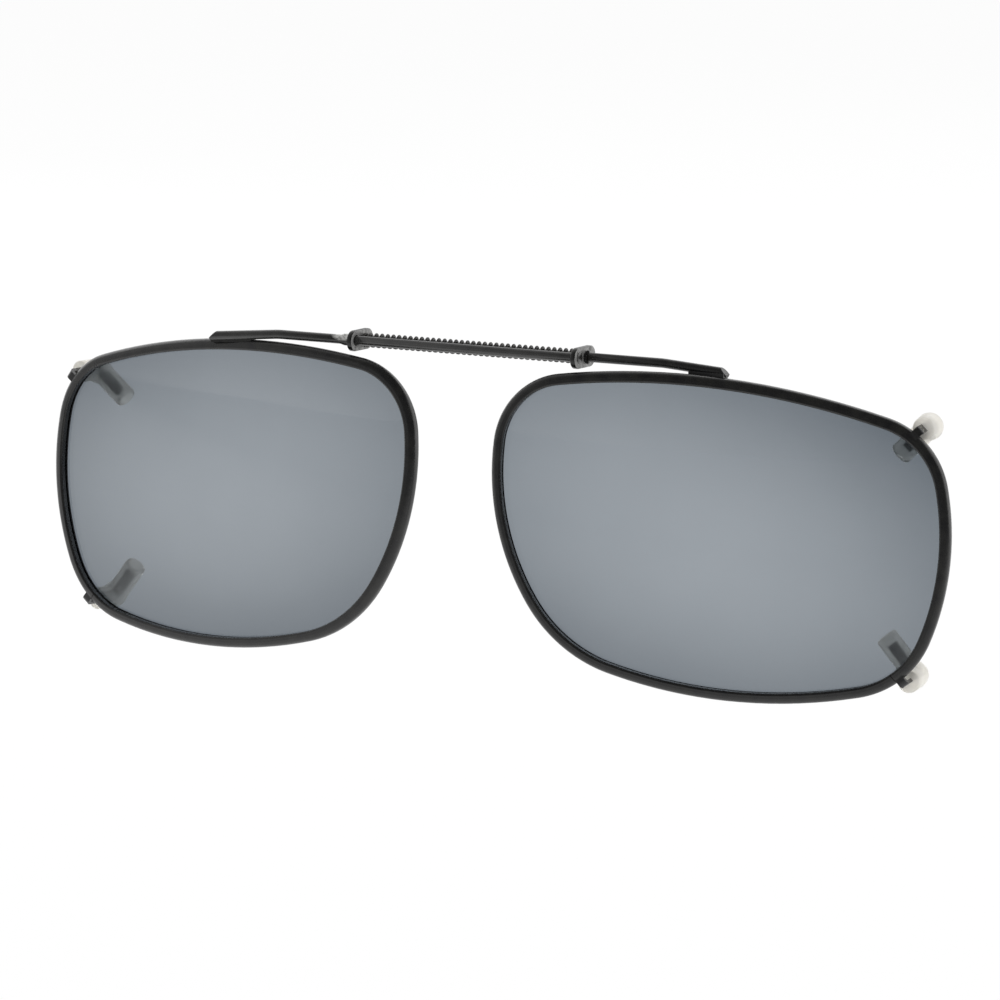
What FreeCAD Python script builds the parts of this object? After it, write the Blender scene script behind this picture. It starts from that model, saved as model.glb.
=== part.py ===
import FreeCAD, Part
import math
import os

# Clip-on sunglasses with a spring draw bridge, in millimetres and degrees, as worn:
# +X towards the wearer's left, +Y towards the wearer's face, +Z up.
# The origin is midway between the two lens centres, level with the front-most points of their dish.
# "right" and "left" are the wearer's own, so the right eye lies at -X.

# Eye shape: the rim's outer edge seen square on, made of four long arcs and four corner arcs.
eye_width = 58.5
eye_height = 40.0
top_radius = 96.1
temple_radius = 33.5
bottom_radius = 67.9
nose_radius = 31.1
top_peak_shift = -6.65      # towards the temple is positive
bottom_peak_shift = 4.25
temple_peak_lift = 1.1
nose_peak_lift = 7.1
upper_temple_corner = 10.7
lower_temple_corner = 11.7
lower_nose_corner = 18.6
upper_nose_corner = 9.8

# Rim wire and lens.
base_radius = 177.0         # sphere that the lens and rim are dished to
rim_width = 1.35
rim_front = 0.95            # rim's front and back, from the dished surface
rim_back = 0.85
rim_outer_round = 0.8       # the wire is almost half round on its outside
rim_inner_round = 0.25
lens_thickness = 0.6
lens_setback = 0.2          # middle of the lens behind the dished surface
lens_bite = 0.45            # depth of the groove that holds the lens edge
lens_play = 0.04            # clearance of the lens in its groove
seam_width = 0.08           # brazed butt joint of the rim wire, beside the lower hook
seam_depth = 0.12

# Where the eyes sit.
lens_distance = 69.15       # lens centre to lens centre
face_wrap = 8.9             # how far each lens turns round the face

# Hooks: a bent strip with a soft sleeve over its free end.
hook_width = 1.1
hook_thickness = 0.45
hook_root = 0.5             # length let into the rim
hook_stand_out = 0.9        # how far the strip clears the rim's outer edge
hook_reach_back = 5.4       # lens surface to the middle of the strip's arm
hook_root_bend = 0.45
hook_back_bend = 1.0
sleeve_diameter = 2.8
sleeve_bend_diameter = 3.4
sleeve_overhang = 1.35      # soft tip past the strip's end
sleeve_start_gap = 1.65     # behind the rim
sleeve_end_round = 0.45

# Each hook is brazed on and bent by hand, so each has its own three values: direction of the rim's
# normal at its seat, how far it is turned from that normal, and length of its arm from the back leg.
right_upper_seat = 40.0
right_upper_turn = -4.0
right_upper_arm = 4.6
right_lower_seat = -50.5
right_lower_turn = 0.0
right_lower_arm = 4.4
left_upper_seat = 52.5
left_upper_turn = -7.5
left_upper_arm = 4.3
left_lower_seat = -49.5
left_lower_turn = -0.5
left_lower_arm = 5.0

# Draw bridge: two rods, a guide plate at each end and a spring between the plates.
bridge_rise = 0.85          # middle of the guide plates above the rims' tops
bridge_setback = 1.0        # middle of the two rods behind the lens surfaces
bridge_span = 30.6          # between the plates' inner faces, at rest
rod_diameter = 1.17
rod_spacing = 1.8
front_rod_lift = 0.08       # front rod above the middle of the plates
rod_slide_clearance = 0.05
rod_stake_clearance = 0.01
rod_bend_radius = 12.0
right_rod_droop = 5.0       # slope of each rod's outer end
left_rod_droop = 4.0
rod_bend_lead = 3.8         # from the bend to the pad
rod_bevel_height = 0.8
right_rod_reach = 1.75      # end of each rod from its lens centre towards the temple
left_rod_reach = 0.65
stake_diameter = 1.4        # peened head that holds a rod in its plate
stake_height = 0.18
right_stop_length = 1.4     # pinched ears that stop each plate
right_stop_height = 1.5
left_stop_length = 0.5
left_stop_height = 1.7
stop_thickness = 0.5
stop_gap = 0.03
plate_thickness = 0.65
plate_height = 2.6
plate_front_margin = 1.35   # in front of the front rod's axis
plate_back_margin = 2.6     # behind the back rod's axis
pad_inner_offset = 4.25     # from the lens centre towards the nose
pad_undercut = 0.15         # the rod's bevelled end overhangs the pad
pad_inset = 0.3             # pad's face inside the rod's side
pad_lip = 0.35              # how far the pad laps over the rim's edge
spring_wire = 0.32
spring_play = 0.035         # between the coil and its rod

# Worked out from the sizes above.
half_distance = lens_distance / 2
bridge_height = eye_height / 2 + bridge_rise
rod_radius = rod_diameter / 2
front_axis = FreeCAD.Vector(0, bridge_setback - rod_spacing / 2, bridge_height + front_rod_lift)
back_axis = FreeCAD.Vector(0, bridge_setback + rod_spacing / 2, bridge_height)
plate_inner_x = bridge_span / 2
plate_outer_x = plate_inner_x + plate_thickness
pad_start_x = half_distance - pad_inner_offset
rod_bend_x = pad_start_x - rod_bend_lead
blank_depth = eye_width / 2  # length of the eye-shaped blanks that the dished pieces are cut from

ORIGIN = FreeCAD.Vector(0, 0, 0)
X_AXIS = FreeCAD.Vector(1, 0, 0)
Y_AXIS = FreeCAD.Vector(0, 1, 0)
Z_AXIS = FreeCAD.Vector(0, 0, 1)


def polar(centre, radius, angle):
    """A point in the XZ plane, at an angle in degrees from +X."""
    a = math.radians(angle)
    return FreeCAD.Vector(centre.x + radius * math.cos(a), 0, centre.z + radius * math.sin(a))


def corner_centre(side_a, side_b, radius, towards):
    """Centre of the corner arc that touches two side arcs from inside, nearest one direction."""
    centre_a, radius_a = side_a
    centre_b, radius_b = side_b
    between = centre_b - centre_a
    reach_a = radius_a - radius
    reach_b = radius_b - radius
    along = (reach_a ** 2 - reach_b ** 2 + between.Length ** 2) / (2 * between.Length)
    across = math.sqrt(reach_a ** 2 - along ** 2)
    direction = FreeCAD.Vector(between).normalize()
    normal = direction.cross(Y_AXIS)
    foot = centre_a + direction * along
    return max((foot + normal * across, foot - normal * across), key=lambda point: point.dot(towards))


def eye_arcs():
    """Side arcs and corner arcs in order, counter-clockwise from the temple side."""
    vector = FreeCAD.Vector
    temple = (vector(eye_width / 2 - temple_radius, 0, temple_peak_lift), temple_radius)
    top = (vector(top_peak_shift, 0, eye_height / 2 - top_radius), top_radius)
    nose = (vector(nose_radius - eye_width / 2, 0, nose_peak_lift), nose_radius)
    bottom = (vector(bottom_peak_shift, 0, bottom_radius - eye_height / 2), bottom_radius)
    sides = [temple, top, nose, bottom]
    radii = [upper_temple_corner, upper_nose_corner, lower_nose_corner, lower_temple_corner]
    directions = [vector(1, 0, 1), vector(-1, 0, 1), vector(-1, 0, -1), vector(1, 0, -1)]
    corners = []
    for i in range(4):
        centre = corner_centre(sides[i], sides[(i + 1) % 4], radii[i], directions[i])
        corners.append((centre, radii[i]))
    return sides, corners


def eye_wire(inset):
    """The eye outline moved inwards by one distance, as eight tangent arcs."""
    sides, corners = eye_arcs()
    ends = []
    for i in range(4):
        corner, radius = corners[i]
        for side_centre, side_radius in (sides[i], sides[(i + 1) % 4]):
            outwards = FreeCAD.Vector(corner - side_centre).normalize()
            ends.append(side_centre + outwards * (side_radius - inset))
    edges = []
    for i in range(4):
        corner, radius = corners[i]
        start, finish = ends[2 * i], ends[2 * i + 1]
        middle = FreeCAD.Vector((start - corner).normalize() + (finish - corner).normalize()).normalize()
        edges.append(Part.Arc(start, corner + middle * (radius - inset), finish).toShape())
        side_centre, side_radius = sides[(i + 1) % 4]
        following = ends[(2 * i + 2) % 8]
        middle = FreeCAD.Vector((finish - side_centre).normalize() + (following - side_centre).normalize())
        bulge = side_centre + middle.normalize() * (side_radius - inset)
        edges.append(Part.Arc(finish, bulge, following).toShape())
    return Part.Wire(edges)


def eye_blank(inset):
    """A straight-sided block of the eye outline, long enough to reach through the dish."""
    block = Part.Face(eye_wire(inset)).extrude(Y_AXIS * 2 * blank_depth)
    block.translate(Y_AXIS * -blank_depth)
    return block


def dish(front, back):
    """The space between two spheres, one that far in front of the dished surface and one behind it."""
    centre = Y_AXIS * base_radius
    outer = Part.makeSphere(base_radius + front, centre)
    return outer.cut(Part.makeSphere(base_radius - back, centre))


def lens_dish(play):
    """The space that the lens takes up, with some play at its front and back."""
    half = lens_thickness / 2 + play
    return dish(half - lens_setback, half + lens_setback)


def surface_depth(x, z):
    """How far the dished surface lies behind its front-most point."""
    return base_radius - math.sqrt(base_radius ** 2 - x ** 2 - z ** 2)


def rounded_path(points, radii):
    """Straight edges joined by arcs, through points in one plane."""
    edges = []
    last = points[0]
    for i in range(1, len(points) - 1):
        before = FreeCAD.Vector(points[i - 1] - points[i]).normalize()
        after = FreeCAD.Vector(points[i + 1] - points[i]).normalize()
        half_angle = before.getAngle(after) / 2
        setback = radii[i - 1] / math.tan(half_angle)
        start = points[i] + before * setback
        finish = points[i] + after * setback
        inwards = FreeCAD.Vector(before + after).normalize()
        middle = points[i] + inwards * (radii[i - 1] / math.sin(half_angle) - radii[i - 1])
        edges.append(Part.LineSegment(last, start).toShape())
        edges.append(Part.Arc(start, middle, finish).toShape())
        last = finish
    edges.append(Part.LineSegment(last, points[-1]).toShape())
    return edges


def hook_strip(arm_length):
    """One hook in its own frame: X out of the rim, Y back, Z along the strip's width."""
    half = hook_thickness / 2
    root_y = half - rim_front
    leg_x = hook_stand_out - half
    tip_x = leg_x - arm_length
    vector = FreeCAD.Vector
    outside = [vector(-hook_root, root_y - half, 0), vector(leg_x + half, root_y - half, 0),
               vector(leg_x + half, hook_reach_back + half, 0), vector(tip_x, hook_reach_back + half, 0)]
    inside = [vector(tip_x, hook_reach_back - half, 0), vector(leg_x - half, hook_reach_back - half, 0),
              vector(leg_x - half, root_y + half, 0), vector(-hook_root, root_y + half, 0)]
    edges = rounded_path(outside, [hook_root_bend + half, hook_back_bend + half])
    edges.append(Part.LineSegment(outside[-1], inside[0]).toShape())
    edges += rounded_path(inside, [hook_back_bend - half, hook_root_bend - half])
    edges.append(Part.LineSegment(inside[-1], outside[0]).toShape())
    strip = Part.Face(Part.Wire(edges)).extrude(Z_AXIS * hook_width)
    strip.translate(Z_AXIS * (-hook_width / 2))
    return strip


def hook_sleeve(arm_length):
    """The soft sleeve over a hook's back leg, bend and arm, in the hook's frame."""
    leg_x = hook_stand_out - hook_thickness / 2
    start_y = rim_back + sleeve_start_gap
    radius = sleeve_diameter / 2
    sleeved_length = arm_length + sleeve_overhang
    leg = Part.makeCylinder(radius, hook_reach_back - start_y, FreeCAD.Vector(leg_x, start_y, 0), Y_AXIS)
    arm_root = FreeCAD.Vector(leg_x, hook_reach_back, 0)
    arm = Part.makeCylinder(radius, sleeved_length, arm_root, -X_AXIS)
    tip_edge = [edge for edge in arm.Edges if abs(edge.BoundBox.XMax - (leg_x - sleeved_length)) < 1e-6]
    arm = arm.makeFillet(sleeve_end_round, tip_edge)
    bend_inset = hook_back_bend * (1 - math.sqrt(0.5))
    ball = Part.makeSphere(sleeve_bend_diameter / 2, arm_root - FreeCAD.Vector(bend_inset, bend_inset, 0))
    body = leg.fuse([arm, ball])
    front = Part.makeBox(4 * radius, 4 * radius, 4 * radius)
    front.translate(FreeCAD.Vector(leg_x - 2 * radius, start_y - 4 * radius, -2 * radius))
    return body.cut([front, hook_strip(arm_length)]).removeSplitter()


def seat_on_corner(shape, corner, seat, turn):
    """Move a piece from the hook's frame to its seat on one temple corner of the eye."""
    centre, radius = corner
    point = polar(centre, radius, seat)
    point.y = surface_depth(point.x, point.z)
    turned = shape.copy()
    turned.rotate(ORIGIN, Y_AXIS, -(seat + turn))
    turned.translate(point)
    return turned


def seam_cutter(corner, seat, turn):
    """A shallow slot across the rim's front and outer faces, on the lower side of a hook."""
    slot = Part.makeBox(rim_width + hook_stand_out, seam_depth + rim_outer_round, seam_width)
    slot.translate(FreeCAD.Vector(-rim_width, -rim_front - rim_outer_round, -hook_width / 2 - seam_width))
    return seat_on_corner(slot, corner, seat, turn)


def long_edges(body, beside_lens):
    """The rim wire's edges that run round the eye, either those beside the lens or those on its outside."""
    middle = eye_blank(rim_width / 2)
    chosen = []
    for edge in body.Edges:
        point = edge.valueAt((edge.FirstParameter + edge.LastParameter) / 2)
        runs_round = edge.Length > rim_front + rim_back + rim_outer_round
        if runs_round and middle.isInside(point, lens_play, True) == beside_lens:
            chosen.append(edge)
    return chosen


def rim(strips, slot):
    """The grooved rim wire with the hooks' roots let in and the seam of its butt joint."""
    body = eye_blank(0).cut(eye_blank(rim_width)).common(dish(rim_front, rim_back))
    body = body.makeFillet(rim_outer_round, long_edges(body, False))
    body = body.makeFillet(rim_inner_round, long_edges(body, True))
    groove = eye_blank(rim_width - lens_bite).common(lens_dish(lens_play))
    return body.cut([groove, slot] + strips)


def lens():
    """The dished lens, its edge held in the rim's groove."""
    return eye_blank(rim_width - lens_bite + lens_play).common(lens_dish(0))


def place_eye(shape, left):
    """Turn a piece of one eye round the face and put it on the wearer's left or right."""
    placed = shape.copy()
    placed.rotate(ORIGIN, Z_AXIS, face_wrap)
    placed.translate(X_AXIS * half_distance)
    return placed if left else placed.mirror(ORIGIN, X_AXIS)


def stop_ears(axis, length, height):
    """The rod pinched into two flat ears just outboard of its own plate."""
    start = plate_outer_x + stop_gap
    half = height / 2
    low = (half + rod_radius) / 2
    profile = [(start, low), (start + 0.3 * length, half), (start + 0.6 * length, half),
               (start + length, rod_radius)]
    profile += [(x, -z) for x, z in reversed(profile)]
    points = [axis + FreeCAD.Vector(x, -stop_thickness / 2, z) for x, z in profile]
    return Part.Face(Part.makePolygon(points + points[:1])).extrude(Y_AXIS * stop_thickness)


def rod_end(axis, reach, droop):
    """Where the axis of a rod brazed to the lens at +X ends."""
    end_x = half_distance + reach
    drop = math.tan(math.radians(droop)) * (end_x - rod_bend_x)
    return axis + FreeCAD.Vector(end_x, 0, -drop)


def rod(axis, end, ears):
    """A rod brazed to the lens at +X: staked end at -X, stop ears, droop and bevelled outer end."""
    points = [axis - X_AXIS * plate_outer_x, axis + X_AXIS * rod_bend_x, end]
    path = Part.Wire(rounded_path(points, [rod_bend_radius]))
    profile = Part.Wire(Part.makeCircle(rod_radius, points[0], X_AXIS))
    body = path.makePipeShell([profile], True, True)
    head = Part.makeCone(stake_diameter / 2, stake_diameter / 2 - stake_height / 2, stake_height, points[0], -X_AXIS)
    wedge = Part.makeBox(4 * rod_diameter, 2 * rod_diameter, 4 * rod_diameter)
    wedge.translate(FreeCAD.Vector(0, -rod_diameter, 0))
    wedge.rotate(ORIGIN, Y_AXIS, -45)
    wedge.translate(end + Z_AXIS * (rod_radius - rod_bevel_height))
    return body.fuse([head, ears]).cut(wedge).removeSplitter()


def pad(end, placed_rim, rod_shape):
    """The brazed pad under a rod's outer end, lapped over the rim's top edge, for a lens at +X."""
    half_depth = rod_radius - pad_inset
    rod_side = end.y - half_depth if end.y < bridge_setback else end.y + half_depth
    low_z = eye_height / 2 - rim_width
    length = end.x - pad_undercut - pad_start_x
    block = Part.makeBox(length, abs(rod_side - bridge_setback), end.z - low_z)
    block.translate(FreeCAD.Vector(pad_start_x, min(rod_side, bridge_setback), low_z))
    return block.cut([place_eye(eye_blank(pad_lip), True), placed_rim, rod_shape])


def guide_plate(staked_axis, sliding_axis):
    """The plate at +X: a stadium with one hole that holds its rod and one that the other slides in."""
    end_radius = plate_height / 2
    front = front_axis.y - plate_front_margin + end_radius
    back = back_axis.y + plate_back_margin - end_radius
    block = Part.makeBox(plate_thickness, back - front, plate_height)
    block.translate(FreeCAD.Vector(plate_inner_x, front, bridge_height - end_radius))
    ends = [Part.makeCylinder(end_radius, plate_thickness, FreeCAD.Vector(plate_inner_x, y, bridge_height), X_AXIS)
            for y in (front, back)]
    holes = [Part.makeCylinder(rod_radius + clearance, plate_thickness, axis + X_AXIS * plate_inner_x, X_AXIS)
             for axis, clearance in ((staked_axis, rod_stake_clearance), (sliding_axis, rod_slide_clearance))]
    return block.fuse(ends).removeSplitter().cut(holes)


def bridge_spring():
    """The coil spring round the back rod, as the tube that its turns fill."""
    inner = rod_radius + spring_play
    start = back_axis - X_AXIS * plate_inner_x
    tube = Part.makeCylinder(inner + spring_wire, bridge_span, start, X_AXIS)
    return tube.cut(Part.makeCylinder(inner, bridge_span, start, X_AXIS))


def mirrored(shape):
    """The same piece on the other side of the face."""
    return shape.mirror(ORIGIN, X_AXIS)


def eye_nodes(side, hooks, rod_axis, end, ears):
    """The pieces brazed together round one lens, in the frame of the whole part."""
    left = side == "left"
    corners = {"upper": eye_arcs()[1][0], "lower": eye_arcs()[1][3]}
    seats = {name: (corners[name], seat, turn) for name, (seat, turn, arm) in hooks.items()}
    strips = {name: seat_on_corner(hook_strip(hooks[name][2]), *seats[name]) for name in hooks}
    rim_shape = rim(list(strips.values()), seam_cutter(*seats["lower"]))
    nodes = {side + "_rim": place_eye(rim_shape, left), side + "_lens": place_eye(lens(), left)}
    for name in hooks:
        sleeve = seat_on_corner(hook_sleeve(hooks[name][2]), *seats[name])
        nodes[side + "_" + name + "_hook"] = place_eye(strips[name], left)
        nodes[side + "_" + name + "_sleeve"] = place_eye(sleeve, left)
    rod_shape = rod(rod_axis, end, ears)
    pad_shape = pad(end, place_eye(rim_shape, True), rod_shape)
    nodes[side + "_rod"] = rod_shape if left else mirrored(rod_shape)
    nodes[side + "_rod_pad"] = pad_shape if left else mirrored(pad_shape)
    return nodes


right_hooks = {"upper": (right_upper_seat, right_upper_turn, right_upper_arm),
               "lower": (right_lower_seat, right_lower_turn, right_lower_arm)}
left_hooks = {"upper": (left_upper_seat, left_upper_turn, left_upper_arm),
              "lower": (left_lower_seat, left_lower_turn, left_lower_arm)}
right_ears = stop_ears(front_axis, right_stop_length, right_stop_height)
left_ears = stop_ears(back_axis, left_stop_length, left_stop_height)
right_end = rod_end(front_axis, right_rod_reach, right_rod_droop)
left_end = rod_end(back_axis, left_rod_reach, left_rod_droop)
nodes = eye_nodes("right", right_hooks, front_axis, right_end, right_ears)
nodes.update(eye_nodes("left", left_hooks, back_axis, left_end, left_ears))
nodes["left_guide_plate"] = guide_plate(front_axis, back_axis)
nodes["right_guide_plate"] = mirrored(guide_plate(back_axis, front_axis))
nodes["bridge_spring"] = bridge_spring()

os.makedirs("parts", exist_ok=True)
for name, shape in nodes.items():
    solid = shape.Solids[0]
    solid.exportStep("parts/" + name + ".step")
    print(name, len(shape.Solids), shape.isValid(), round(shape.Volume, 3))
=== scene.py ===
"""Clip-on sunglasses with a spring draw bridge: finishes, and the pieces finer than their solids.

The rims, lenses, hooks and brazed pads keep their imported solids. The two bridge rods, the guide
plates, the coil spring and the four hook sleeves are modelled here and stand for theirs.
"""

import logging
import math
from dataclasses import dataclass
from enum import Enum
from typing import ClassVar

import bmesh
import bpy
from mathutils import Matrix, Vector


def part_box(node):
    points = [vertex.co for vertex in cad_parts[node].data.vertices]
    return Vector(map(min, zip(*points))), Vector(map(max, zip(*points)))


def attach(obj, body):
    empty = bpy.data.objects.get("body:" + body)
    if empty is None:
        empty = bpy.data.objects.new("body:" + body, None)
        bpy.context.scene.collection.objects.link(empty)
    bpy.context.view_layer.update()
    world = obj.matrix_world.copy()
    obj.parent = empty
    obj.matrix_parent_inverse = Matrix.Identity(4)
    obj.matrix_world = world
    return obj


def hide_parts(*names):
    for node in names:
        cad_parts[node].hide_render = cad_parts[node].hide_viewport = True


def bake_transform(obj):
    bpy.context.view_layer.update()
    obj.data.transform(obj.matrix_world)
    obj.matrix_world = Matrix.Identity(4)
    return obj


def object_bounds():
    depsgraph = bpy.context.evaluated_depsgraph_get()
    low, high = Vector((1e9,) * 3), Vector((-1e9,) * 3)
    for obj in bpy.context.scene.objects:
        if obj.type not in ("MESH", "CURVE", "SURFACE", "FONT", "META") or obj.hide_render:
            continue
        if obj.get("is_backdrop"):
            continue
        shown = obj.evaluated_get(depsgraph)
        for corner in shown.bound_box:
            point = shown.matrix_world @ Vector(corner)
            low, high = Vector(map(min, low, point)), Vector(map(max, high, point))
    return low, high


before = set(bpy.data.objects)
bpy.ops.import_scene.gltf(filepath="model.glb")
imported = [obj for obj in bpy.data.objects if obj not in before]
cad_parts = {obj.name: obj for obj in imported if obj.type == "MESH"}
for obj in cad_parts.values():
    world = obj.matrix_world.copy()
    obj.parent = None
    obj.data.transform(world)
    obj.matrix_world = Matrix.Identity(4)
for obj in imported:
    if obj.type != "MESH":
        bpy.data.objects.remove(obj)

LOG = logging.getLogger("clip_on")
MM = 0.001
WHITE = (1.0, 1.0, 1.0, 1.0)

Pair = tuple[float, float]
Triple = tuple[float, float, float]
Colour = Triple
Material = bpy.types.Material
Socket = bpy.types.NodeSocket


class Side(Enum):
    """The wearer's side that an eye belongs to."""

    RIGHT = "right"
    LEFT = "left"

    @property
    def sign(self) -> float:
        """The sign of X on this side."""
        return -1.0 if self is Side.RIGHT else 1.0

    @property
    def other(self) -> "Side":
        """The other side of the face."""
        return Side.LEFT if self is Side.RIGHT else Side.RIGHT

    @property
    def body(self) -> str:
        """The moving half that this eye rides on."""
        return self.value + "_eye_half"


class Level(Enum):
    """Which of an eye's two hooks."""

    UPPER = "upper"
    LOWER = "lower"


class Slot(Enum):
    """The record's material slots that new pieces take."""

    BLACK_METAL = "black_metal"
    CLEAR_SILICONE = "clear_silicone"
    SPRING_WIRE = "spring_wire"


# Materials.


class NodeBench:
    """A node tree while it is put together."""

    def __init__(self, tree: bpy.types.NodeTree) -> None:
        """Take up the tree to add to."""
        self.tree = tree

    def node(self, kind: str, **sockets: object) -> bpy.types.Node:
        """Add a node and fill its inputs.

        Args:
            kind: The node's type name.
            **sockets: Values or output sockets, by input name with underscores for spaces.

        Returns:
            The new node.
        """
        made = self.tree.nodes.new(kind)
        for name, value in sockets.items():
            self.feed(made.inputs[name.replace("_", " ")], value)
        return made

    def feed(self, socket: Socket, value: object) -> None:
        """Link an output socket to an input, or set the input's own value.

        Args:
            socket: The input.
            value: An output socket, a number or a colour.
        """
        if isinstance(value, Socket):
            self.tree.links.new(value, socket)
        else:
            socket.default_value = value

    def reckon(self, operation: str, *values: object, kind: str = "ShaderNodeMath") -> Socket:
        """Work out a number from others.

        Args:
            operation: What is worked out.
            *values: Numbers, vectors or output sockets, in order.
            kind: The node's type name.

        Returns:
            The number output.
        """
        made = self.tree.nodes.new(kind)
        made.operation = operation
        for socket, value in zip(made.inputs, values):
            self.feed(socket, value)
        return made.outputs["Value"]

    def reckon_vectors(self, operation: str, *values: object) -> Socket:
        """Work out a number from vectors, as reckon does from numbers."""
        return self.reckon(operation, *values, kind="ShaderNodeVectorMath")

    def spread(self, factor: Socket, low: float, high: float, start: float = 0.3,
               finish: float = 0.7) -> Socket:
        """A number that follows a factor.

        Args:
            factor: What it follows.
            low: The number up to start.
            high: The number from finish on.
            start: The factor that gives low.
            finish: The factor that gives high.

        Returns:
            The number output.
        """
        made = self.node("ShaderNodeMapRange", Value=factor, From_Min=start, From_Max=finish,
                         To_Min=low, To_Max=high)
        return made.outputs["Result"]

    def seen_by_eye(self, mirrored: object = 1.0) -> Socket:
        """1 for rays that show the background: straight, in a reflection or through glass.

        Args:
            mirrored: How white the background is in a reflection.

        Returns:
            The number output.
        """
        ray = self.node("ShaderNodeLightPath")
        glossy = self.reckon("MULTIPLY", ray.outputs["Is Glossy Ray"], mirrored)
        shown = self.reckon("MAXIMUM", ray.outputs["Is Camera Ray"], glossy)
        return self.reckon("MAXIMUM", shown, ray.outputs["Is Transmission Ray"])


class FinishSheet(NodeBench):
    """One node material while it is put together."""

    # A mix node's colour sockets share their names with others, so they go by number.
    MIX_INPUTS: ClassVar[tuple[int, ...]] = (0, 6, 7)
    MIX_COLOUR: ClassVar[int] = 2

    def __init__(self, name: str) -> None:
        """Start an empty node material.

        Args:
            name: The finish's name.
        """
        self.material = bpy.data.materials.new(name)
        self.material.use_nodes = True
        super().__init__(self.material.node_tree)
        self.tree.nodes.clear()
        self.output = self.node("ShaderNodeOutputMaterial")
        self.place = self.node("ShaderNodeTexCoord").outputs["Object"]

    def turned_place(self, centre: Vector, turn: Triple, scale: Vector) -> Socket:
        """Object coordinates measured from a piece's own centre, turned and scaled.

        Args:
            centre: The new origin, in metres.
            turn: Turns about X, Y and Z, in radians.
            scale: Length of one unit along each turned axis, in metres.

        Returns:
            The vector output.
        """
        mapping = self.node("ShaderNodeMapping", Vector=self.place, Location=centre,
                            Rotation=turn, Scale=scale)
        mapping.vector_type = "TEXTURE"
        return mapping.outputs["Vector"]

    def noise(self, feature: float, detail: float = 3.0,
              stretch: Triple = (1.0, 1.0, 1.0)) -> Socket:
        """A soft mottle over the piece.

        Args:
            feature: Size of one blotch, in metres.
            detail: Octaves.
            stretch: How many times longer blotches are along each axis.

        Returns:
            The noise factor output, about 0.5 in the middle.
        """
        scaled = self.turned_place(Vector((0.0, 0.0, 0.0)), (0.0, 0.0, 0.0), Vector(stretch))
        made = self.node("ShaderNodeTexNoise", Vector=scaled, Scale=1.0 / feature, Detail=detail)
        return made.outputs["Fac"]

    def ramp(self, factor: Socket, *shades: Colour) -> Socket:
        """A colour that passes evenly through some shades as a factor goes from 0 to 1.

        Args:
            factor: What the colour follows.
            *shades: Two or more shades.

        Returns:
            The colour output.
        """
        made = self.node("ShaderNodeValToRGB", Fac=factor)
        elements = made.color_ramp.elements
        while len(elements) < len(shades):
            elements.new(0.5)
        for index, (element, shade) in enumerate(zip(elements, shades)):
            element.position = index / (len(shades) - 1)
            element.color = (*shade, 1.0)
        return made.outputs["Color"]

    def mix_colours(self, share: Socket, first: Socket, second: Colour) -> Socket:
        """One colour that gives way to another.

        Args:
            share: The second colour's share.
            first: A colour output.
            second: A plain colour.

        Returns:
            The colour output.
        """
        mix = self.tree.nodes.new("ShaderNodeMix")
        mix.data_type = "RGBA"
        for number, value in zip(self.MIX_INPUTS, (share, first, (*second, 1.0))):
            self.feed(mix.inputs[number], value)
        return mix.outputs[self.MIX_COLOUR]

    def mix_shaders(self, share: Socket, first: Socket, second: Socket) -> Socket:
        """One shader that gives way to another.

        Args:
            share: The second shader's share.
            first: A shader output.
            second: A shader output.

        Returns:
            The shader output.
        """
        mix = self.tree.nodes.new("ShaderNodeMixShader")
        for socket, value in zip(mix.inputs, (share, first, second)):
            self.feed(socket, value)
        return mix.outputs["Shader"]

    def relief(self, height: Socket, depth: float, strength: float) -> Socket:
        """A normal bumped by a height factor, whose unit is depth metres high."""
        bump = self.node("ShaderNodeBump", Height=height, Distance=depth, Strength=strength)
        return bump.outputs["Normal"]

    def surface(self, **sockets: object) -> Socket:
        """The main shader, with its inputs given as for node."""
        return self.node("ShaderNodeBsdfPrincipled", **sockets).outputs["BSDF"]

    def close(self, shader: Socket) -> Material:
        """Join the finished shader to the output, and hand over the material."""
        self.feed(self.output.inputs["Surface"], shader)
        return self.material

    def close_with_shadow(self, shader: Socket, shadow: Colour) -> Material:
        """Join the shader, and let light through in its shadow as a see-through piece does.

        Args:
            shader: The finished shader output.
            shadow: The share of light that one surface lets through.

        Returns:
            The material.
        """
        passing = self.node("ShaderNodeBsdfTransparent", Color=(*shadow, 1.0)).outputs["BSDF"]
        casting = self.node("ShaderNodeLightPath").outputs["Is Shadow Ray"]
        return self.close(self.mix_shaders(casting, shader, passing))


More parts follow.
